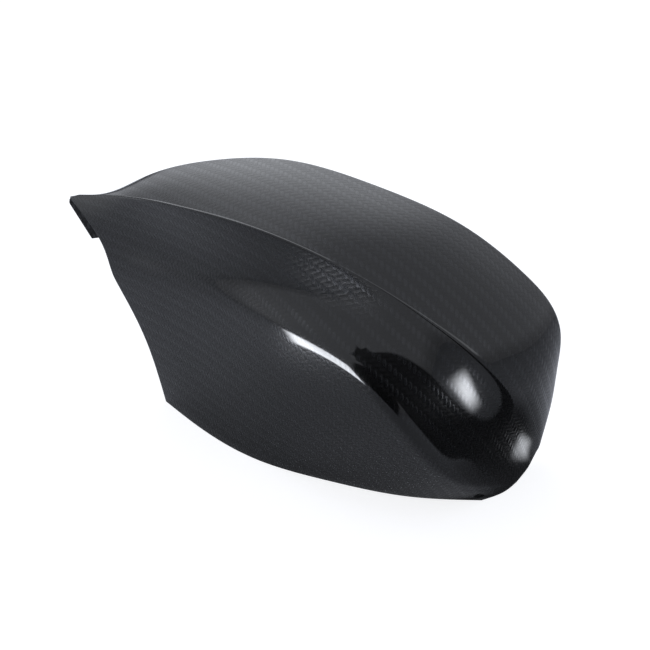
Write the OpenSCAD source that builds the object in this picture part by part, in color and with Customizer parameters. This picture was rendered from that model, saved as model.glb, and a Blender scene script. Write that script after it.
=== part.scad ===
// Wing mirror cover: the thin moulded outer cap of a left-hand door mirror.
// One laid-up shell. +X points outboard, away from the car, +Y points to the
// rear, where the mirror glass would be, and +Z points up. The origin is at the
// middle of the cap's length and depth, on the plane of its lower edge.
// Millimetres.

/* [Overall size] */
// Length from the inboard tip to the outboard side
cap_length = 247; // [200:1:300]
// Depth from the rear flange to the nose
cap_depth = 79; // [60:1:100]
// Height from the lower edge to the top of the arch
cap_height = 128; // [100:1:155]

/* [Laminate] */
// Thickness of the laid-up wall
wall = 1.6; // [1.2:0.1:2.2]
// Reach of the bend where the skin turns into the rear flange
rim_bend = 3; // [2:0.25:5]

/* [Rear flange] */
// Width of the flange that turns inward along the rear opening
flange_width = 8.5; // [6:0.5:14]
// Depth of the tab that the flange grows into at the inboard tip
tab_depth = 20; // [16:0.5:26]
// How far the tab's end leans outboard
tab_lean = 6; // [0:0.5:8]
// Share of the rim's length over which the tab fades into the flange
tab_reach = 0.3; // [0.2:0.05:0.4]
// Width that the flange tapers to at its lower outboard end
flange_end = 3.5; // [2.5:0.5:6]

/* [Ridge and crest] */
// Reach of the upper ridge's rounding at the inboard tip
ridge_tight = 1.3; // [0.8:0.1:3]
// Reach of the ridge's rounding where it fades at the outboard end
ridge_soft = 7; // [4:0.5:10]
// Share of the ridge's length where it starts to fade
ridge_fade_from = 0.5; // [0.3:0.05:0.7]
// Reach of the lower crest's rounding
crest_round = 6; // [3:0.5:9]
// Crown of the top face, as a share of its width
top_crown = 0.07; // [0.03:0.01:0.1]

/* [Smoothness] */
// Sections taken along the length
section_count = 80; // [40:4:96]

/* [Hidden] */

// Lines that the skin is lofted through, each from the inboard cut to the lower
// outboard corner. X is counted from the tip, Y from the rear flange and Z from
// the lower edge, on the cap at its standard size.
standard_length = 247;
standard_depth = 79;
standard_height = 128;
sx = cap_length / standard_length;
sy = cap_depth / standard_depth;
sz = cap_height / standard_height;
// Edge where the skin meets the rear flange: up the arch and down the outboard side
rim_line = [
    [0, 0, 88.5], [20, 0, 95], [45, 0, 109.5], [80, 0, 122.5], [120, 0, 128.2], [160, 0, 122.3], [200, 0, 110],
    [229, 0, 91.6], [241, 0, 79.8], [246.2, 0, 69], [247.1, 0, 50], [246.2, 0, 30], [243.3, 0, 9.5]
];
// Upper ridge: sharp lip from the tip, fading as it turns down the outboard side
ridge_line = [
    [2, -3, 94], [15.5, -6, 97], [37, -13, 102.5], [80, -31, 111], [126, -48, 115], [170, -57, 108],
    [204, -54, 90], [226, -44.5, 68], [238, -30, 42], [242.3, -5, 3.5]
];
// Bottom of the scoop between the ridge and the crest
scoop_line = [
    [18.2, -4.2, 73.5], [58, -17, 83], [100, -35, 90.5], [150, -54.5, 92],
    [190, -63, 85], [212, -56, 61], [228, -40, 31], [241, -15, 1]
];
// Lower crest: the nose of the cap, diving to the lower outboard corner
crest_line = [
    [25.8, -9, 56.2], [67.3, -26.3, 68.4], [110.4, -47.7, 76.9], [152.2, -70.3, 82.1],
    [180.5, -79.6, 74.8], [202.5, -75.6, 48.4], [219.8, -59.7, 19.1], [238.5, -26, 0.5]
];
// Fullest line of the lower face
belly_line = [
    [48.5, -18.5, 30], [86.4, -36.7, 34.5], [131.1, -59.3, 37.7], [166.2, -69, 38.3],
    [193.2, -68.8, 31], [214.1, -58.6, 13.7], [235, -36, 0.2]
];
// Lower edge, flat on Z = 0
sill_line = [
    [60, -25.5, 0], [91.5, -42.3, 0], [125.5, -53.7, 0], [160, -55.8, 0], [196, -53.4, 0], [227, -44, 0]
];

// Points sampled in each span between neighbouring rows of a section
span_steps = [2, 2, 2, 2, 4, 3, 2, 2, 4, 4, 2, 2, 4, 3];

function unit(v) = v / max(norm(v), 0.000001);
function ease(x) = x <= 0 ? 0 : x >= 1 ? 1 : x * x * (3 - 2 * x);
function sized(line) = [for (p = line) [p[0] * sx, p[1] * sy, p[2] * sz]];
function running(h, i = 0, total = 0, out = [0]) =
    i == len(h) ? out : running(h, i + 1, total + h[i], concat(out, [total + h[i]]));

// Natural cubic spline through a line's points, with chord lengths as knots:
// forward sweep, then back substitution, for the second derivatives.
function sweep(p, h, i, c, d) =
    i == len(p) - 1 ? [c, d] :
    let (
        rhs = 6 * ((p[i + 1] - p[i]) / h[i] - (p[i] - p[i - 1]) / h[i - 1]),
        pivot = 2 * (h[i - 1] + h[i]) - h[i - 1] * c[i - 1]
    )
    sweep(p, h, i + 1, concat(c, [h[i] / pivot]), concat(d, [(rhs - h[i - 1] * d[i - 1]) / pivot]));
function back(c, d, i, m) = i == 0 ? concat([[0, 0, 0]], m) : back(c, d, i - 1, concat([d[i] - c[i] * m[0]], m));
function spline(line) =
    let (
        p = sized(line),
        h = [for (i = [0 : len(p) - 2]) norm(p[i + 1] - p[i])],
        s = sweep(p, h, 1, [0], [[0, 0, 0]])
    )
    [p, h, running(h), back(s[0], s[1], len(p) - 2, [[0, 0, 0]])];
function span_of(knots, t, i = 0) = i >= len(knots) - 2 || t < knots[i + 1] ? i : span_of(knots, t, i + 1);
// Point at the share s of a spline's length
function along(sp, s) =
    let (
        t = s * sp[2][len(sp[2]) - 1],
        i = span_of(sp[2], t),
        h = sp[1][i],
        b = (t - sp[2][i]) / h,
        a = 1 - b
    )
    a * sp[0][i] + b * sp[0][i + 1] + ((a * a * a - a) * sp[3][i] + (b * b * b - b) * sp[3][i + 1]) * h * h / 6;

rim = spline(rim_line);
ridge = spline(ridge_line);
scoop = spline(scoop_line);
crest = spline(crest_line);
belly = spline(belly_line);
sill = spline(sill_line);

// Width of the rear flange at the share s
function flange_at(s) =
    (flange_width + (tab_depth - flange_width) * (1 - ease(s / tab_reach)))
    * (1 - (1 - flange_end / flange_width) * ease((s - 0.86) / 0.14));

// Main lines of the section at the share s, from the flange's inner edge to the lower edge
function main_lines(s) =
    let (
        a = along(rim, s),
        b = along(ridge, s),
        step = 0.002,
        run = unit(along(rim, min(1, s + step)) - along(rim, max(0, s - step))),
        inward = [run[2], 0, -run[0]],
        across = b - a,
        crown = unit(cross(across, run)) * norm(across) * top_crown
    )
    [
        a + inward * flange_at(s) + run * tab_lean * (1 - ease(s / tab_reach)),
        a,
        a + across * 0.33 + crown,
        a + across * 0.67 + crown,
        b,
        along(scoop, s),
        along(crest, s),
        along(belly, s),
        along(sill, s)
    ];

// Section's guide rows: the main lines, with a close pair at each bend to set its radius
function guide_rows(m, s) =
    let (
        top = norm(m[4] - m[1]),
        fold = norm(m[0] - m[1]),
        r = ridge_tight + (ridge_soft - ridge_tight) * ease((s - ridge_fade_from) / (1 - ridge_fade_from)),
        c = crest_round * (1 - 0.7 * ease((s - 0.75) / 0.25))
    )
    [
        m[0],
        m[1] + unit(m[0] - m[1]) * rim_bend * fold / (fold + rim_bend),
        m[1],
        m[1] + unit(m[2] - m[1]) * rim_bend * top / (top + 4 * rim_bend),
        m[2],
        m[3],
        m[4] + unit(m[3] - m[4]) * r * top / (top + 4 * r),
        m[4],
        m[4] + unit(m[5] - m[4]) * r,
        m[5],
        m[6] + unit(m[5] - m[6]) * c,
        m[6],
        m[6] + unit(m[7] - m[6]) * c,
        m[7],
        m[8]
    ];

// Uniform cubic B-spline over a section's guide rows, ending on the first and last row
function blend(q, i, t) =
    (pow(1 - t, 3) * q[i] + (3 * t * t * t - 6 * t * t + 4) * q[i + 1]
    + (3 * t * t - 3 * t * t * t + 3 * t + 1) * q[i + 2] + t * t * t * q[i + 3]) / 6;
function section_curve(rows) =
    let (
        n = len(rows),
        q = concat([2 * rows[0] - rows[1]], rows, [2 * rows[n - 1] - rows[n - 2]])
    )
    [for (i = [0 : n - 2]) each [for (k = [0 : span_steps[i] - 1]) blend(q, i, k / span_steps[i])], rows[n - 1]];

// Same lines on the inner face, moved in by the wall with mitred corners
function inner_lines(s) =
    let (
        step = 0.004,
        m = main_lines(s),
        fore = main_lines(min(1, s + step)),
        aft = main_lines(max(0, s - step)),
        n = [
            for (k = [0 : len(m) - 2])
                unit(cross(unit(fore[k] - aft[k]) + unit(fore[k + 1] - aft[k + 1]), m[k + 1] - m[k]))
        ]
    )
    [
        for (k = [0 : len(m) - 1])
            let (
                p = n[max(k - 1, 0)],
                q = n[min(k, len(m) - 2)],
                v = m[k] + wall * (p + q) / (1 + p * q)
            )
            [v[0], v[1], max(v[2], 0)]
    ];

module cover_shell() {
    outer = [for (i = [0 : section_count]) section_curve(guide_rows(main_lines(i / section_count), i / section_count))];
    inner = [for (i = [0 : section_count]) section_curve(guide_rows(inner_lines(i / section_count), i / section_count))];
    cols = len(outer[0]);
    rows = section_count + 1;
    half = rows * cols;
    skin = [
        for (i = [0 : rows - 2]) for (j = [0 : cols - 2])
            let (a = i * cols + j)
            each [[a, a + 1, a + cols + 1], [a, a + cols + 1, a + cols]]
    ];
    lining = [for (f = skin) [f[0] + half, f[2] + half, f[1] + half]];
    // Trimmed edges: flange and lower edge, then the inboard cut and the outboard corner
    edges = [
        for (i = [0 : rows - 2]) let (a = i * cols, b = a + cols - 1)
            each [[a, a + cols, a + half], [a + cols, a + cols + half, a + half],
                [b, b + half, b + cols], [b + cols, b + half, b + cols + half]],
        for (j = [0 : cols - 2]) let (b = (rows - 1) * cols + j)
            each [[j, j + half, j + 1], [j + 1, j + half, j + 1 + half],
                [b, b + 1, b + half], [b + 1, b + 1 + half, b + half]]
    ];
    color([0.06, 0.06, 0.07])
    translate([-cap_length / 2, cap_depth / 2, 0])
    polyhedron(points = concat([for (r = outer) each r], [for (r = inner) each r]), faces = concat(skin, lining, edges));
}

cover_shell();
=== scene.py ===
import math

import bmesh
import bpy
import numpy as np
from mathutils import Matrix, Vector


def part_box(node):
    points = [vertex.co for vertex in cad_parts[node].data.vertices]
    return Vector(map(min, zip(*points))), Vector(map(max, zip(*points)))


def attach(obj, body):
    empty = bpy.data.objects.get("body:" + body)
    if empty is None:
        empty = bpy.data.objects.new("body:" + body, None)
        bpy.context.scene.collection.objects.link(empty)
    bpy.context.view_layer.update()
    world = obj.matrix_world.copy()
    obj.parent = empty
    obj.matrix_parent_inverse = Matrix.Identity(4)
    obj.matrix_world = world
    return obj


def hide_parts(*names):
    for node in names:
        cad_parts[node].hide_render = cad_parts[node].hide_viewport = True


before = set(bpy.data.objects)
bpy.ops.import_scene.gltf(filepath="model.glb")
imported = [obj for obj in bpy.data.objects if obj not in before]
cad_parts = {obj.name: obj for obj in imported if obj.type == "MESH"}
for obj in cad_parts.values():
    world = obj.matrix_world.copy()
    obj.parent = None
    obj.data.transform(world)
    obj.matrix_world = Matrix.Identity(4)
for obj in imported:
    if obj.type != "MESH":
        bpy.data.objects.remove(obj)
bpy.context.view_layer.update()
scene = bpy.context.scene


# COVER SHELL
# The whole cap is one thin moulded skin: dry twill cloth laid in a mould, soaked
# with resin and cured, then trimmed along its free edges and lacquered outside.
# It is lofted here through the same lines as the part, in millimetres.
WALL = 1.6
RIM_BEND = 3.0
FLANGE_WIDTH, FLANGE_END = 8.5, 3.5
TAB_DEPTH, TAB_LEAN, TAB_REACH = 20.0, 6.0, 0.3
RIDGE_TIGHT, RIDGE_SOFT, RIDGE_FADE_FROM = 1.3, 7.0, 0.5
CREST_ROUND, TOP_CROWN = 6.0, 0.07
# The tip's upper corner is rounded off by this much, over this share of the length
TIP_DROP, TIP_REACH = 2.4, 0.025
HALF_LENGTH, HALF_DEPTH = 123.5, 39.5

RIM_LINE = [
    [0, 0, 88.5], [20, 0, 95], [45, 0, 109.5], [80, 0, 122.5], [120, 0, 128.2], [160, 0, 122.3],
    [200, 0, 110], [229, 0, 91.6], [241, 0, 79.8], [246.2, 0, 69], [247.1, 0, 50], [246.2, 0, 30],
    [243.3, 0, 9.5],
]
RIDGE_LINE = [
    [2, -3, 94], [15.5, -6, 97], [37, -13, 102.5], [80, -31, 111], [126, -48, 115], [170, -57, 108],
    [204, -54, 90], [226, -44.5, 68], [238, -30, 42], [242.3, -5, 3.5],
]
SCOOP_LINE = [
    [18.2, -4.2, 73.5], [58, -17, 83], [100, -35, 90.5], [150, -54.5, 92],
    [190, -63, 85], [212, -56, 61], [228, -40, 31], [241, -15, 1],
]
CREST_LINE = [
    [25.8, -9, 56.2], [67.3, -26.3, 68.4], [110.4, -47.7, 76.9], [152.2, -70.3, 82.1],
    [180.5, -79.6, 74.8], [202.5, -75.6, 48.4], [219.8, -59.7, 19.1], [238.5, -26, 0.5],
]
BELLY_LINE = [
    [48.5, -18.5, 30], [86.4, -36.7, 34.5], [131.1, -59.3, 37.7], [166.2, -69, 38.3],
    [193.2, -68.8, 31], [214.1, -58.6, 13.7], [235, -36, 0.2],
]
SILL_LINE = [
    [60, -25.5, 0], [91.5, -42.3, 0], [125.5, -53.7, 0], [160, -55.8, 0], [196, -53.4, 0], [227, -44, 0],
]


def unit(v):
    return v / max(np.linalg.norm(v), 1e-6)


def ease(x):
    return 0.0 if x <= 0 else 1.0 if x >= 1 else x * x * (3 - 2 * x)


def fair_line(points):
    """Natural cubic spline through a line's points, with chord lengths as knots."""
    p = np.array(points, float)
    n, h = len(p), np.linalg.norm(np.diff(p, axis=0), axis=1)
    a, r = np.eye(n), np.zeros_like(p)
    for i in range(1, n - 1):
        a[i, i - 1 : i + 2] = h[i - 1], 2 * (h[i - 1] + h[i]), h[i]
        r[i] = 6 * ((p[i + 1] - p[i]) / h[i] - (p[i] - p[i - 1]) / h[i - 1])
    return p, h, np.concatenate([[0], np.cumsum(h)]), np.linalg.solve(a, r)


def along(line, s):
    """Point at the share s of a line's length."""
    p, h, knots, m = line
    t = s * knots[-1]
    i = min(max(int(np.searchsorted(knots, t, side="right")) - 1, 0), len(h) - 1)
    b = (t - knots[i]) / h[i]
    a = 1 - b
    return a * p[i] + b * p[i + 1] + ((a**3 - a) * m[i] + (b**3 - b) * m[i + 1]) * h[i] ** 2 / 6


rim, ridge, scoop, crest, belly, sill = (
    fair_line(points) for points in (RIM_LINE, RIDGE_LINE, SCOOP_LINE, CREST_LINE, BELLY_LINE, SILL_LINE)
)


def outer_lines(s):
    """The section's main lines at the share s, from the flange's inner edge to the lower edge."""
    a, b = along(rim, s), along(ridge, s)
    run = unit(along(rim, min(1, s + 0.002)) - along(rim, max(0, s - 0.002)))
    fade = 1 - ease(s / TAB_REACH)
    width = FLANGE_WIDTH + (TAB_DEPTH - FLANGE_WIDTH) * fade
    width *= 1 - (1 - FLANGE_END / FLANGE_WIDTH) * ease((s - 0.86) / 0.14)
    across = b - a
    crown = unit(np.cross(across, run)) * np.linalg.norm(across) * TOP_CROWN
    return np.array([
        a + np.array([run[2], 0, -run[0]]) * width + run * TAB_LEAN * fade,
        a, a + across * 0.33 + crown, a + across * 0.67 + crown, b,
        along(scoop, s), along(crest, s), along(belly, s), along(sill, s),
    ])


def inner_lines(s):
    """The same lines on the inner face, moved in by the wall with mitred corners."""
    m, fore, aft = outer_lines(s), outer_lines(min(1, s + 0.004)), outer_lines(max(0, s - 0.004))
    n = [
        unit(np.cross(unit(fore[k] - aft[k]) + unit(fore[k + 1] - aft[k + 1]), m[k + 1] - m[k]))
        for k in range(len(m) - 1)
    ]
    out = []
    for k in range(len(m)):
        p, q = n[max(k - 1, 0)], n[min(k, len(n) - 1)]
        v = m[k] + WALL * (p + q) / (1 + p @ q)
        out.append([v[0], v[1], max(v[2], 0)])
    return np.array(out)


def guide_rows(m, s):
    """Rows that pull the section's curve, with a close pair at each bend, and one beyond each end."""
    top, fold = np.linalg.norm(m[4] - m[1]), np.linalg.norm(m[0] - m[1])
    r = RIDGE_TIGHT + (RIDGE_SOFT - RIDGE_TIGHT) * ease((s - RIDGE_FADE_FROM) / (1 - RIDGE_FADE_FROM))
    c = CREST_ROUND * (1 - 0.7 * ease((s - 0.75) / 0.25))
    m[4] = m[4] - [0, 0, TIP_DROP * max(0.0, 1 - s / TIP_REACH) ** 2]
    rows = [
        m[0], m[1] + unit(m[0] - m[1]) * RIM_BEND * fold / (fold + RIM_BEND), m[1],
        m[1] + unit(m[2] - m[1]) * RIM_BEND * top / (top + 4 * RIM_BEND), m[2], m[3],
        m[4] + unit(m[3] - m[4]) * r * top / (top + 4 * r), m[4], m[4] + unit(m[5] - m[4]) * r, m[5],
        m[6] + unit(m[5] - m[6]) * c, m[6], m[6] + unit(m[7] - m[6]) * c, m[7], m[8],
    ]
    return [2 * rows[0] - rows[1], *rows, 2 * rows[-1] - rows[-2]]


SECTIONS, ROWS, STEPS = 300, 17, 8
SPANS = ROWS - 3
COLUMNS = SPANS * STEPS + 1


def guide_net(name, lines):
    """Loose points of the guide rows, section by section, in metres and in the part's frame."""
    rows = [guide_rows(lines(i / SECTIONS), i / SECTIONS) for i in range(SECTIONS + 1)]
    points = (np.array(rows).reshape(-1, 3) + [-HALF_LENGTH, HALF_DEPTH, 0]) / 1000
    mesh = bpy.data.meshes.new(name)
    mesh.from_pydata(points.tolist(), [], [])
    return mesh


def skin_tree():
    """Geometry Nodes that lay a smooth skin over a net: a cubic B-spline over each section's rows."""
    tree = bpy.data.node_groups.new("Lofted skin", "GeometryNodeTree")
    tree.is_modifier = True
    tree.interface.new_socket("Guide net", in_out="INPUT", socket_type="NodeSocketGeometry")
    for label in ("Sections", "Guide rows", "Steps per span"):
        tree.interface.new_socket(label, in_out="INPUT", socket_type="NodeSocketInt")
    tree.interface.new_socket("Finish", in_out="INPUT", socket_type="NodeSocketMaterial")
    tree.interface.new_socket("Skin", in_out="OUTPUT", socket_type="NodeSocketGeometry")
    nodes, links = tree.nodes, tree.links
    given, result = nodes.new("NodeGroupInput").outputs, nodes.new("NodeGroupOutput").inputs

    def plug(value, socket):
        if isinstance(value, bpy.types.NodeSocket):
            links.new(value, socket)
        else:
            socket.default_value = value

    def calc(operation, *values):
        n = nodes.new("ShaderNodeMath")
        n.operation = operation
        for value, socket in zip(values, n.inputs):
            plug(value, socket)
        return n.outputs[0]

    spans = calc("SUBTRACT", given["Guide rows"], 3)
    columns = calc("MULTIPLY_ADD", spans, given["Steps per span"], 1)
    sheet = nodes.new("GeometryNodeMeshGrid")
    plug(1.0, sheet.inputs["Size X"])
    plug(1.0, sheet.inputs["Size Y"])
    plug(calc("ADD", given["Sections"], 1), sheet.inputs["Vertices X"])
    plug(columns, sheet.inputs["Vertices Y"])

    index = nodes.new("GeometryNodeInputIndex").outputs[0]
    section = calc("FLOOR", calc("DIVIDE", calc("ADD", index, 0.5), columns))
    column = calc("SUBTRACT", index, calc("MULTIPLY", section, columns))
    place = calc("DIVIDE", column, given["Steps per span"])
    span = calc("MINIMUM", calc("FLOOR", calc("ADD", place, 0.001)), calc("SUBTRACT", spans, 1))
    t = calc("SUBTRACT", place, span)
    u = calc("SUBTRACT", 1, t)
    t2, t3 = calc("MULTIPLY", t, t), calc("POWER", t, 3)
    u2, u3 = calc("MULTIPLY", u, u), calc("POWER", u, 3)
    pulls = [
        calc("DIVIDE", u3, 6),
        calc("DIVIDE", calc("ADD", calc("MULTIPLY_ADD", t2, -6, 4), calc("MULTIPLY", t3, 3)), 6),
        calc("DIVIDE", calc("ADD", calc("MULTIPLY_ADD", u2, -6, 4), calc("MULTIPLY", u3, 3)), 6),
        calc("DIVIDE", t3, 6),
    ]
    first = calc("MULTIPLY_ADD", section, given["Guide rows"], span)
    total = None
    for k, pull in enumerate(pulls):
        sample = nodes.new("GeometryNodeSampleIndex")
        sample.data_type, sample.domain = "FLOAT_VECTOR", "POINT"
        plug(given["Guide net"], sample.inputs["Geometry"])
        plug(nodes.new("GeometryNodeInputPosition").outputs[0], sample.inputs["Value"])
        plug(calc("ADD", first, k), sample.inputs["Index"])
        share = nodes.new("ShaderNodeVectorMath")
        share.operation = "SCALE"
        plug(sample.outputs["Value"], share.inputs[0])
        plug(pull, share.inputs["Scale"])
        if total is None:
            total = share.outputs[0]
        else:
            both = nodes.new("ShaderNodeVectorMath")
            plug(total, both.inputs[0])
            plug(share.outputs[0], both.inputs[1])
            total = both.outputs[0]
    moved = nodes.new("GeometryNodeSetPosition")
    plug(sheet.outputs["Mesh"], moved.inputs["Geometry"])
    plug(total, moved.inputs["Position"])
    real = nodes.new("GeometryNodeRealizeInstances")
    plug(moved.outputs[0], real.inputs[0])
    finish = nodes.new("GeometryNodeSetMaterial")
    plug(real.outputs[0], finish.inputs["Geometry"])
    plug(given["Finish"], finish.inputs["Material"])
    links.new(finish.outputs[0], result["Skin"])
    return tree


skin_rule = skin_tree()
lacquered_twill = bpy.data.materials.new("Twill under lacquer")
bare_laminate = bpy.data.materials.new("Bare laminate")
trimmed_edge = bpy.data.materials.new("Trimmed edge")


def lay_skin(name, lines, finish):
    """Runs the tree over a net and gives back the skin's points as a grid."""
    carrier = bpy.data.objects.new(name, guide_net(name, lines))
    scene.collection.objects.link(carrier)
    rule = carrier.modifiers.new("Lofted skin", "NODES")
    rule.node_group = skin_rule
    sizes = {"Sections": SECTIONS, "Guide rows": ROWS, "Steps per span": STEPS, "Finish": finish}
    for item in skin_rule.interface.items_tree:
        if item.in_out == "INPUT" and item.name in sizes:
            rule[item.identifier] = sizes[item.name]
    depsgraph = bpy.context.evaluated_depsgraph_get()
    mesh = bpy.data.meshes.new_from_object(carrier.evaluated_get(depsgraph))
    points = np.empty(len(mesh.vertices) * 3)
    mesh.vertices.foreach_get("co", points)
    carrier.modifiers.remove(rule)
    bpy.data.objects.remove(carrier)
    return points.reshape(SECTIONS + 1, COLUMNS, 3)


outside = lay_skin("outer_net", outer_lines, lacquered_twill)
inside = lay_skin("inner_net", inner_lines, bare_laminate)

# The part's skin is faceted more coarsely, so this one stands up to 0.2 mm proud of
# it at the nose. Both faces are drawn in evenly to the part's own box.
shell_box = np.array(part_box("cover_shell"))
low, high = outside.min((0, 1)), outside.max((0, 1))
draw_in = (shell_box[1] - shell_box[0]) / (high - low)
outside, inside = ((skin - low) * draw_in + shell_box[0] for skin in (outside, inside))


def lay_cloth(skin, every=(5, 4), passes=2500):
    """Flattens the skin as cloth is laid in a mould, each tow keeping its length: metres on the cloth."""
    a = np.arange(0, SECTIONS + 1, every[0])
    b = np.arange(0, COLUMNS, every[1])
    p = skin[np.ix_(a, b)] * 1000
    n, m = len(a), len(b)
    # it is laid out from the bottom of the scoop, which is guide row 9
    mid = int(np.argmin(abs(b - 9 * STEPS)))
    step_a = np.linalg.norm(np.diff(p[:, mid], axis=0), axis=1)
    step_b = np.linalg.norm(np.diff(p, axis=1), axis=2)
    flat = np.zeros((n, m, 2))
    flat[..., 0] = np.concatenate([[0], np.cumsum(step_a)])[:, None]
    up = np.concatenate([np.zeros((n, 1)), np.cumsum(step_b, axis=1)], axis=1)
    flat[..., 1] = up[:, mid : mid + 1] - up
    ids = np.arange(n * m).reshape(n, m)
    ties = np.concatenate([
        np.stack([ids[:-1].ravel(), ids[1:].ravel()], 1),
        np.stack([ids[:, :-1].ravel(), ids[:, 1:].ravel()], 1),
        np.stack([ids[:-1, :-1].ravel(), ids[1:, 1:].ravel()], 1),
        np.stack([ids[1:, :-1].ravel(), ids[:-1, 1:].ravel()], 1),
    ])
    p, flat = p.reshape(-1, 3), flat.reshape(-1, 2)
    i, j = ties[:, 0], ties[:, 1]
    length = np.linalg.norm(p[i] - p[j], axis=1)
    # the flange is held loosely, so that the cloth lies true on the faces that show
    flange = 2 * STEPS // every[1]
    hold = np.minimum(1, length / 2) * np.where((i % m < flange) | (j % m < flange), 0.1, 1)
    share = np.bincount(i, hold, n * m) + np.bincount(j, hold, n * m)
    # each pass goes a little too far, which settles the cloth sooner
    overshoot = 1.6
    for _ in range(passes):
        d = flat[j] - flat[i]
        now = np.maximum(np.linalg.norm(d, axis=1), 1e-6)
        pull = d * (hold * 0.5 * (now - length) / now)[:, None]
        for axis in (0, 1):
            step = np.bincount(i, pull[:, axis], n * m) - np.bincount(j, pull[:, axis], n * m)
            flat[:, axis] += overshoot * step / share
    flat = flat.reshape(n, m, 2)
    # Turned so that the cloth's length runs along the cap at the left of its front
    lead = flat[n // 3, mid] - flat[n // 12, mid]
    true = skin[a[n // 3], b[mid]] - skin[a[n // 12], b[mid]]
    turn = math.atan2(lead[1], lead[0]) - math.atan2(true[2], math.hypot(true[0], true[1]))
    c, s = math.cos(-turn), math.sin(-turn)
    flat = flat @ np.array([[c, s], [-s, c]]) / 1000
    fine = np.empty((SECTIONS + 1, COLUMNS, 2))
    for axis in (0, 1):
        rows = np.array([np.interp(np.arange(COLUMNS), b, flat[k, :, axis]) for k in range(n)])
        fine[..., axis] = np.transpose([
            np.interp(np.arange(SECTIONS + 1), a, rows[:, k]) for k in range(COLUMNS)
        ])
    return fine


cloth = lay_cloth(outside)


def weld_shell():
    """Joins both skins along their trimmed edges into one closed shell, with the cloth as its UV map."""
    n, m = SECTIONS + 1, COLUMNS
    out = np.arange(n * m).reshape(n, m)
    inn = out + n * m

    def quads(a, b, c, d):
        return np.stack([a.ravel(), b.ravel(), c.ravel(), d.ravel()], 1)

    faces = np.concatenate([
        quads(out[:-1, :-1], out[:-1, 1:], out[1:, 1:], out[1:, :-1]),
        quads(inn[:-1, :-1], inn[1:, :-1], inn[1:, 1:], inn[:-1, 1:]),
        quads(out[:-1, 0], out[1:, 0], inn[1:, 0], inn[:-1, 0]),
        quads(out[1:, -1], out[:-1, -1], inn[:-1, -1], inn[1:, -1]),
        quads(out[0, 1:], out[0, :-1], inn[0, :-1], inn[0, 1:]),
        quads(out[-1, :-1], out[-1, 1:], inn[-1, 1:], inn[-1, :-1]),
    ])
    skins = (n - 1) * (m - 1)
    finish = np.full(len(faces), 2)
    finish[:skins], finish[skins : 2 * skins] = 0, 1
    # the lacquer runs round onto the two short cuts, except where the tab ends
    finish[-2 * (m - 1) + 2 * STEPS : -(m - 1)] = 0
    finish[-(m - 1) :] = 0
    mesh = bpy.data.meshes.new("cover_skin")
    points = np.concatenate([outside.reshape(-1, 3), inside.reshape(-1, 3)])
    mesh.from_pydata(points.tolist(), [], faces.tolist())
    for material in (lacquered_twill, bare_laminate, trimmed_edge):
        mesh.materials.append(material)
    mesh.polygons.foreach_set("material_index", finish)
    mesh.polygons.foreach_set("use_smooth", np.ones(len(faces), bool))
    lie = mesh.uv_layers.new(name="cloth")
    corners = np.empty(len(mesh.loops), int)
    mesh.loops.foreach_get("vertex_index", corners)
    both = np.concatenate([cloth.reshape(-1, 2)] * 2)
    lie.data.foreach_set("uv", both[corners].astype(np.float32).ravel())

    shell = bmesh.new()
    shell.from_mesh(mesh)
    if shell.calc_volume(signed=True) < 0:
        bmesh.ops.reverse_faces(shell, faces=shell.faces[:])
    # only the sharp edges of the trim are broken: those that turn by more than this, in radians
    sharp = 0.8
    broken = shell.edges.layers.float.new("bevel_weight_edge")
    for edge in shell.edges:
        edge[broken] = 1.0 if edge.calc_face_angle(0) > sharp else 0.0
    shell.to_mesh(mesh)
    shell.free()
    return mesh


cover_skin = bpy.data.objects.new("cover_skin", weld_shell())
scene.collection.objects.link(cover_skin)
edge_break = cover_skin.modifiers.new("Broken edge", "BEVEL")
edge_break.limit_method, edge_break.width, edge_break.segments = "WEIGHT", 0.00045, 3
edge_break.use_clamp_overlap = True


# Finish of the cover: black fibre tows, two millimetres wide, in a twill that
# passes over two and under two, under a polished coat of clear lacquer. The
# weave is read from the UV map, which holds metres on the flat cloth.
def group(name, numbers, vectors, results):
    tree = bpy.data.node_groups.new(name, "ShaderNodeTree")
    for label, value in numbers.items():
        socket = tree.interface.new_socket(label, in_out="INPUT", socket_type="NodeSocketFloat")
        socket.default_value = value
    for label in vectors:
        tree.interface.new_socket(label, in_out="INPUT", socket_type="NodeSocketVector")
    for label in results:
        tree.interface.new_socket(label, in_out="OUTPUT", socket_type="NodeSocketFloat")
    return tree


def shader_calc(nodes, links):
    def calc(operation, *values):
        n = nodes.new("ShaderNodeMath")
        n.operation = operation
        for value, socket in zip(values, n.inputs):
            if isinstance(value, bpy.types.NodeSocket):
                links.new(value, socket)
            else:
                socket.default_value = value
        return n.outputs[0]

    return calc


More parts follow.
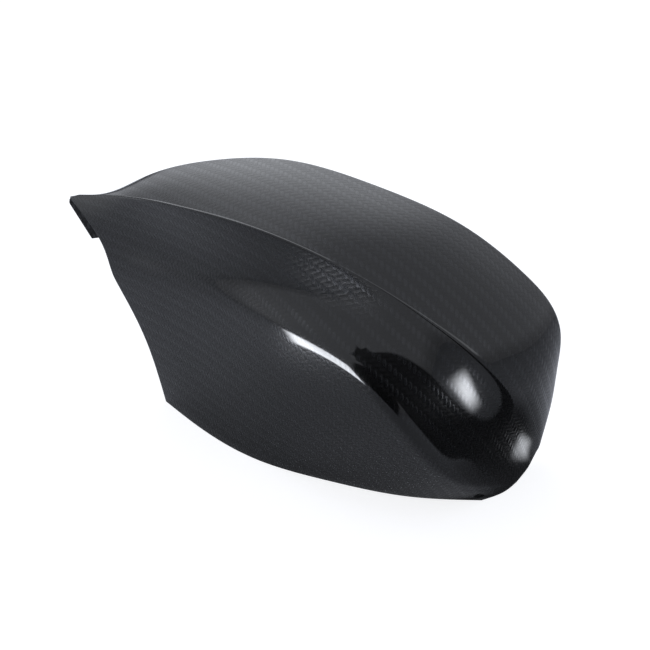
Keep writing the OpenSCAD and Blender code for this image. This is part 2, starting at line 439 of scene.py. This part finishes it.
def twill_weave():
    """Two-by-two twill on the cloth: which tow lies on top, how high it stands, and its fibres."""
    sizes = {"Tow width": 0.002, "Fibre pitch": 0.00018}
    tree = group("Twill weave", sizes, ["Cloth"], ["Warp", "Height", "Fibre"])
    nodes, links = tree.nodes, tree.links
    calc = shader_calc(nodes, links)
    given, result = nodes.new("NodeGroupInput").outputs, nodes.new("NodeGroupOutput").inputs
    split = nodes.new("ShaderNodeSeparateXYZ")
    links.new(given["Cloth"], split.inputs[0])
    wide = calc("MULTIPLY", given["Tow width"], math.sqrt(2))
    a = calc("DIVIDE", calc("ADD", split.outputs["X"], split.outputs["Y"]), wide)
    b = calc("DIVIDE", calc("SUBTRACT", split.outputs["X"], split.outputs["Y"]), wide)
    i, j = calc("FLOOR", a), calc("FLOOR", b)
    fa, fb = calc("SUBTRACT", a, i), calc("SUBTRACT", b, j)
    turn = calc("FLOORED_MODULO", calc("SUBTRACT", i, j), 4)
    warp = calc("LESS_THAN", turn, 1.5)
    # place along a float, 0 to 1, and across its tow, -1 to 1
    along_warp = calc("DIVIDE", calc("ADD", calc("SUBTRACT", 1, turn), fb), 2)
    along_weft = calc("DIVIDE", calc("ADD", calc("SUBTRACT", turn, 2), fa), 2)

    def either(x, y):
        return calc("ADD", y, calc("MULTIPLY", warp, calc("SUBTRACT", x, y)))

    run = calc("MULTIPLY_ADD", either(along_warp, along_weft), 2, -1)
    across = calc("MULTIPLY_ADD", either(fa, fb), 2, -1)
    crown = calc("SUBTRACT", 1, calc("MULTIPLY", across, across))
    bow = calc("SUBTRACT", 1, calc("POWER", calc("ABSOLUTE", run), 2.5))
    # fibres run along each tow, so they vary mostly across it, and a weft tow has a grain of its own
    weft_grain, drift_along = 57, 0.35
    tow = calc("ADD", either(i, calc("ADD", j, weft_grain)), either(fa, fb))
    line = calc("DIVIDE", calc("MULTIPLY", tow, given["Tow width"]), given["Fibre pitch"])
    place = nodes.new("ShaderNodeCombineXYZ")
    links.new(line, place.inputs[0])
    links.new(calc("MULTIPLY", either(b, a), drift_along), place.inputs[1])
    grain = nodes.new("ShaderNodeTexNoise")
    grain.noise_dimensions = "2D"
    grain.inputs["Scale"].default_value = 1.0
    grain.inputs["Detail"].default_value = 1.0
    links.new(place.outputs[0], grain.inputs["Vector"])
    links.new(warp, result["Warp"])
    links.new(calc("MULTIPLY", crown, bow), result["Height"])
    links.new(grain.outputs[0], result["Fibre"])
    return tree


weave_group = twill_weave()


def cloth_finish(material, base_low, base_high, rough_low, rough_high, bump, coat, coat_rough, metallic):
    """Carbon cloth seen through resin: the tow crowns are painted brighter than the hollows, partly the
    fibres' own shine over dark resin and partly a painted glint, and weft tows carry a painted sheen darker
    than warp tows.
    """
    material.use_nodes = True
    nodes, links = material.node_tree.nodes, material.node_tree.links
    shader = nodes["Principled BSDF"]
    calc = shader_calc(nodes, links)
    lie = nodes.new("ShaderNodeUVMap")
    lie.uv_map = "cloth"
    weave = nodes.new("ShaderNodeGroup")
    weave.node_tree = weave_group
    links.new(lie.outputs["UV"], weave.inputs["Cloth"])
    # slow drift in how much resin lies over the cloth
    spot = nodes.new("ShaderNodeTexCoord")
    drift = nodes.new("ShaderNodeTexNoise")
    drift.inputs["Scale"].default_value = 22.0
    drift.inputs["Detail"].default_value = 3.0
    links.new(spot.outputs["Object"], drift.inputs["Vector"])
    # painted sheen: a weft tow is painted a fifth as bright as a warp tow, standing in for fibre reflections
    # that change with the light; both vary with their fibre and the resin
    light = calc("MULTIPLY", weave.outputs["Height"], calc("MULTIPLY_ADD", weave.outputs["Warp"], 0.8, 0.2))
    light = calc("MULTIPLY", light, calc("MULTIPLY_ADD", weave.outputs["Fibre"], 0.9, 0.55))
    light = calc("MULTIPLY", light, calc("MULTIPLY_ADD", drift.outputs[0], 0.8, 0.6))
    tone = nodes.new("ShaderNodeMix")
    tone.data_type = "RGBA"
    tone.inputs[6].default_value = (*base_low, 1)
    tone.inputs[7].default_value = (*base_high, 1)
    links.new(light, tone.inputs[0])
    links.new(tone.outputs[2], shader.inputs["Base Color"])
    rough = nodes.new("ShaderNodeMapRange")
    rough.inputs["To Min"].default_value = rough_high
    rough.inputs["To Max"].default_value = rough_low
    links.new(light, rough.inputs["Value"])
    links.new(rough.outputs[0], shader.inputs["Roughness"])
    relief = nodes.new("ShaderNodeBump")
    relief.inputs["Strength"].default_value = 1.0
    relief.inputs["Distance"].default_value = bump
    raised = calc("MULTIPLY_ADD", weave.outputs["Fibre"], 0.04, weave.outputs["Height"])
    links.new(raised, relief.inputs["Height"])
    links.new(relief.outputs[0], shader.inputs["Normal"])
    shader.inputs["Metallic"].default_value = metallic
    shader.inputs["Coat Weight"].default_value = coat
    shader.inputs["Coat Roughness"].default_value = coat_rough
    return shader


# in base_high the crowns of the warp tows are painted bright, partly as a painted glint and sheen
cloth_finish(
    lacquered_twill, base_low=(0.0005, 0.0005, 0.0006), base_high=(0.0115, 0.012, 0.0133),
    rough_low=0.22, rough_high=0.45, bump=0.00009, coat=1.0, coat_rough=0.03, metallic=0.85,
)
cloth_finish(
    bare_laminate, base_low=(0.008, 0.008, 0.0085), base_high=(0.04, 0.04, 0.043),
    rough_low=0.42, rough_high=0.62, bump=0.00016, coat=0.15, coat_rough=0.3, metallic=0.5,
)
cloth_finish(
    trimmed_edge, base_low=(0.006, 0.006, 0.0065), base_high=(0.02, 0.02, 0.021),
    rough_low=0.5, rough_high=0.7, bump=0.00004, coat=0.1, coat_rough=0.3, metallic=0.2,
)

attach(cover_skin, "root")
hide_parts("cover_shell")


# FLOOR
# A wide sheet of matt white paper that the cover stands on. It shows as plain
# white, and the cover's soft shadow stays on it.
floor_mesh = bpy.data.meshes.new("paper_floor")
floor_mesh.from_pydata([(-3, -3, 0), (3, -3, 0), (3, 3, 0), (-3, 3, 0)], [], [(0, 1, 2, 3)])
paper_floor = bpy.data.objects.new("paper_floor", floor_mesh)
scene.collection.objects.link(paper_floor)
paper = bpy.data.materials.new("Matt paper")
paper.use_nodes = True
nodes, links = paper.node_tree.nodes, paper.node_tree.links
sheet = nodes["Principled BSDF"]
calc = shader_calc(nodes, links)
pores = nodes.new("ShaderNodeTexNoise")
pores.inputs["Scale"].default_value = 900.0
fleck = nodes.new("ShaderNodeMix")
fleck.data_type = "RGBA"
fleck.inputs[6].default_value = (0.33, 0.34, 0.365, 1)
fleck.inputs[7].default_value = (0.36, 0.37, 0.395, 1)
where = nodes.new("ShaderNodeTexCoord")
links.new(where.outputs["Object"], pores.inputs["Vector"])
links.new(pores.outputs[0], fleck.inputs[0])
links.new(fleck.outputs[2], sheet.inputs["Base Color"])
sheet.inputs["Roughness"].default_value = 1.0
sheet.inputs["Specular IOR Level"].default_value = 0.0
# how white the paper is made, straight to the eye and in the gloss
PAPER_TO_EYE, PAPER_IN_GLOSS = 0.8, 0.06
ray = nodes.new("ShaderNodeLightPath")
glow = nodes.new("ShaderNodeEmission")
seen = calc("MULTIPLY", ray.outputs["Is Camera Ray"], PAPER_TO_EYE)
seen = calc("MULTIPLY_ADD", ray.outputs["Is Glossy Ray"], PAPER_IN_GLOSS, seen)
through = calc("MULTIPLY", ray.outputs["Is Transmission Ray"], PAPER_TO_EYE)
links.new(calc("ADD", seen, through), glow.inputs["Strength"])
both = nodes.new("ShaderNodeAddShader")
links.new(sheet.outputs[0], both.inputs[0])
links.new(glow.outputs[0], both.inputs[1])
links.new(both.outputs[0], nodes["Material Output"].inputs["Surface"])
floor_mesh.materials.append(paper)


# STUDIO
# A white room with softboxes behind and over the cover, four small lamps close to
# it, and black cloth that its gloss shows as the dark band on its nose; where the cloth
# lies on the paper beside the nose it is painted shade. All of them
# are sheets that fade out towards their edges and are hidden from the camera.
room = bpy.data.worlds.new("White room")
scene.world = room
room.use_nodes = True
nodes, links = room.node_tree.nodes, room.node_tree.links
calc = shader_calc(nodes, links)
ray = nodes.new("ShaderNodeLightPath")
facing = nodes.new("ShaderNodeTexCoord")
height = nodes.new("ShaderNodeSeparateXYZ")
links.new(facing.outputs["Generated"], height.inputs[0])
walls = nodes.new("ShaderNodeMapRange")
walls.interpolation_type = "SMOOTHSTEP"
for label, value in (("From Max", 0.22), ("To Min", 0.42), ("To Max", 0.68)):
    walls.inputs[label].default_value = value
links.new(height.outputs["Z"], walls.inputs["Value"])
back = nodes["Background"]
back.inputs["Color"].default_value = (0.93, 0.96, 1.04, 1)
links.new(walls.outputs[0], back.inputs["Strength"])
plain = nodes.new("ShaderNodeBackground")
plain.inputs["Color"].default_value = (1, 1, 1, 1)
plain.inputs["Strength"].default_value = 1.0
pick = nodes.new("ShaderNodeMixShader")
links.new(calc("MAXIMUM", ray.outputs["Is Camera Ray"], ray.outputs["Is Transmission Ray"]), pick.inputs[0])
links.new(back.outputs[0], pick.inputs[1])
links.new(plain.outputs[0], pick.inputs[2])
links.new(pick.outputs[0], nodes["World Output"].inputs["Surface"])


def at(point, azimuth, elevation, distance):
    """Point at a distance from another, by azimuth from the front to outboard and elevation, in degrees."""
    a, e = math.radians(azimuth), math.radians(elevation)
    return [
        point[0] + distance * math.sin(a) * math.cos(e),
        point[1] - distance * math.cos(a) * math.cos(e),
        point[2] + distance * math.sin(e),
    ]


def studio_sheet(name, rungs, strength, soft, soft_ends):
    """A sheet through pairs of points: a lamp that shines to one side, or at a strength of 0 a black sheet,
    used as black cloth and as painted shade on the paper.
    """
    mesh = bpy.data.meshes.new(name)
    last = len(rungs) - 1
    mesh.from_pydata(
        [list(point) for pair in rungs for point in pair], [],
        [(2 * k, 2 * k + 1, 2 * k + 3, 2 * k + 2) for k in range(last)],
    )
    spread = mesh.uv_layers.new(name="spread")
    for loop in mesh.loops:
        spread.data[loop.index].uv = (loop.vertex_index % 2 * 2 - 1, loop.vertex_index // 2 / last * 2 - 1)
    sheet = bpy.data.objects.new(name, mesh)
    scene.collection.objects.link(sheet)
    sheet.visible_camera = False
    material = bpy.data.materials.new(name)
    material.use_nodes = True
    nodes, links = material.node_tree.nodes, material.node_tree.links
    mesh.materials.append(material)
    calc = shader_calc(nodes, links)
    spot = nodes.new("ShaderNodeUVMap")
    spot.uv_map = "spread"
    parts = nodes.new("ShaderNodeSeparateXYZ")
    links.new(spot.outputs[0], parts.inputs[0])
    fades = []
    for axis, reach in ((0, soft), (1, soft_ends)):
        fade = nodes.new("ShaderNodeMapRange")
        fade.interpolation_type = "SMOOTHSTEP"
        fade.inputs["From Min"].default_value = 1.0
        fade.inputs["From Max"].default_value = 1.0 - reach
        links.new(calc("ABSOLUTE", parts.outputs[axis]), fade.inputs["Value"])
        fades.append(fade.outputs[0])
    cover = calc("MULTIPLY", *fades)
    clear = nodes.new("ShaderNodeBsdfTransparent")
    mixed = nodes.new("ShaderNodeMixShader")
    if strength:
        shine = nodes.new("ShaderNodeEmission")
        shine.inputs["Color"].default_value = (0.94, 0.97, 1.03, 1)
        shine.inputs["Strength"].default_value = strength
        side = nodes.new("ShaderNodeNewGeometry")
        cover = calc("MULTIPLY", cover, calc("SUBTRACT", 1, side.outputs["Backfacing"]))
    else:
        # a black sheet: black cloth, and painted shade where it stands in for the paper's shade beside the
        # nose
        shine = nodes["Principled BSDF"]
        shine.inputs["Base Color"].default_value = (0.01, 0.01, 0.011, 1)
        shine.inputs["Roughness"].default_value = 0.9
    links.new(cover, mixed.inputs[0])
    links.new(clear.outputs[0], mixed.inputs[1])
    links.new(shine.outputs[0], mixed.inputs[2])
    links.new(mixed.outputs[0], nodes["Material Output"].inputs["Surface"])
    return sheet


def softbox(name, centre, towards, width, height, strength, soft, roll=0):
    """A flat softbox centred at one point, in metres, and facing another, rolled by some degrees."""
    c = np.array(centre, float)
    face = unit(np.array(towards, float) - c)
    level = unit(np.cross([0, 0, 1], face))
    side = level * math.cos(math.radians(roll)) + np.cross(face, level) * math.sin(math.radians(roll))
    side, rise = side * width / 2, np.cross(face, side) * height / 2
    rungs = [(c - side - rise, c + side - rise), (c - side + rise, c + side + rise)]
    return studio_sheet(name, rungs, strength, soft, soft)


def arch(directions, reach, half):
    """Rungs of a strip bent over the cover, through directions given as azimuth and elevation."""
    ways = [np.array(at((0, 0, 0), azimuth, elevation, 1)) for azimuth, elevation in directions]
    rungs = []
    for k, way in enumerate(ways):
        run = ways[min(k + 1, len(ways) - 1)] - ways[max(k - 1, 0)]
        side = unit(np.cross(way, run)) * half
        rungs.append((np.array(middle) + (way - side) * reach, np.array(middle) + (way + side) * reach))
    return rungs


def fair_rungs(pairs, steps=6):
    """More rungs between the given ones, along a fair line through each side's points."""
    sides = [fair_line(side) for side in zip(*pairs)]
    rungs = [
        [along(side, (side[2][i] + side[1][i] * k / steps) / side[2][-1]) for side in sides]
        for i in range(len(pairs) - 1) for k in range(steps)
    ]
    return [*rungs, pairs[-1]]


middle, tip = (0.0, 0.0, 0.08), (-0.107, 0.034, 0.093)
nose, corner = (0.0937, -0.0108, 0.0606), (0.116, 0.018, 0.016)

# a broad softbox behind, and a black drape below it that the top face's inboard end shows
softbox("softbox_back", at(middle, -146, 42, 1.2), middle, width=2.2, height=1.8, strength=1.85, soft=1.0)
rear_drape = studio_sheet(
    "rear_drape", arch([(-108, -2), (-124, -1), (-140, -2), (-156, -4)], reach=1.5, half=0.2),
    strength=0, soft=0.9, soft_ends=0.6,
)
# two bright strips bent over the cover, one up each side
left_way = [(-95, -3), (-95, 15), (-95, 35), (-95, 52), (-96, 66), (-98, 78), (0, 90)]
right_way = [(84, 2), (83, 14), (80, 27), (77, 38), (75, 50), (72, 62), (66, 74), (0, 88)]
studio_sheet("arch_left", arch(left_way, reach=1.0, half=0.085), strength=3.2, soft=0.6, soft_ends=0.15)
studio_sheet("arch_right", arch(right_way, reach=1.0, half=0.085), strength=1.8, soft=0.6, soft_ends=0.15)
lamps = [
    # a wedge along the crest, wide at its outboard end
    studio_sheet("lamp_crest", [
        ((0.058, -0.083, 0.057), (-0.012, -0.035, 0.0535)),
        ((0.0445, -0.0815, 0.1045), (-0.0165, -0.0345, 0.0775)),
    ], strength=15.5, soft=0.3, soft_ends=0.4),
    softbox("lamp_tip", at(tip, -66, -22, 0.07), tip, width=0.044, height=0.044, strength=1.1, soft=1.0),
    softbox(
        "lamp_nose", at(nose, 66.6, -21.9, 0.016), nose,
        width=0.027, height=0.0068, strength=15.0, soft=0.9, roll=58,
    ),
    softbox(
        "lamp_corner", at(corner, 131, -41, 0.015), corner, width=0.014, height=0.011, strength=2.2, soft=0.8
    ),
]
# the ribbon lies on the paper outboard of the nose, rises beside it and runs on overhead. Where it lies on
# the paper it is painted shade, standing in for the paper's shade beside the nose; where it rises it is
# black cloth.
black_ribbon_and_painted_shade = studio_sheet("black_ribbon_and_painted_shade", fair_rungs([
    ((0.125, 0.002, 0.002), (0.122, 0.018, 0.002)), ((0.15, -0.002, 0.002), (0.15, 0.014, 0.002)),
    ((0.184, -0.022, 0.004), (0.184, 0.004, 0.004)), ((0.192, -0.038, 0.022), (0.192, -0.015, 0.022)),
    ((0.19, -0.06, 0.058), (0.19, -0.04, 0.058)), ((0.19, -0.086, 0.108), (0.19, -0.064, 0.108)),
    ((0.19, -0.117, 0.164), (0.19, -0.09, 0.164)), ((0.19, -0.22, 0.42), (0.19, -0.17, 0.42)),
    ((0.19, -0.46, 1.0), (0.19, -0.37, 1.0)), ((0.12, -0.57, 1.46), (0.13, -0.51, 1.48)),
    ((-0.06, -0.58, 1.61), (-0.055, -0.56, 1.62)),
]), strength=0, soft=0.35, soft_ends=0.2)
# painted shade: a dark mat on the paper under the outboard end stands in for the paper's shade there, as the
# gloss shows it
painted_shade_mat = studio_sheet("painted_shade_mat", [
    ((0.075, -0.03, 0.001), (0.075, 0.075, 0.001)), ((0.2, -0.03, 0.001), (0.2, 0.075, 0.001)),
], strength=0, soft=1.0, soft_ends=1.0)
# a strip of it hangs in front of the crest
black_strip = studio_sheet("black_strip", fair_rungs([
    ((0.053, -0.0475, 0.099), (0.046, -0.068, 0.087)), ((0.0635, -0.046, 0.099), (0.054, -0.07, 0.08)),
    ((0.0845, -0.047, 0.094), (0.0715, -0.0685, 0.069)), ((0.1035, -0.0475, 0.085), (0.09, -0.0685, 0.059)),
    ((0.119, -0.048, 0.071), (0.109, -0.0695, 0.05)), ((0.129, -0.051, 0.059), (0.121, -0.07, 0.0435)),
]), strength=0, soft=0.15, soft_ends=0.3)
# the small ones and the cloth give reflections only, and leave the paper's light alone
for gleam in (*lamps, black_ribbon_and_painted_shade, painted_shade_mat, black_strip, rear_drape):
    gleam.visible_shadow = gleam.visible_diffuse = False


# CAMERA
# It looks at the cover from its front, a little outboard and from above, as the
# photograph does.
AZIMUTH, ELEVATION, DISTANCE = 21.504753, 30, 0.52
# the lens, in pixels of a picture 650 pixels wide
FOCAL_PIXELS, PICTURE_PIXELS = 1147.7276, 650
eye = bpy.data.cameras.new("camera")
eye.sensor_width = 36.0
eye.lens = FOCAL_PIXELS * 36 / PICTURE_PIXELS
camera = bpy.data.objects.new("camera", eye)
scene.collection.objects.link(camera)
camera.location = at((0.02069, 0.01746, 0.060), AZIMUTH, ELEVATION, DISTANCE)
camera.rotation_euler = (math.radians(90 - ELEVATION), 0, math.radians(AZIMUTH))
eye.clip_start, eye.clip_end = 0.05, 20
scene.camera = camera
scene.view_settings.view_transform = "Standard"
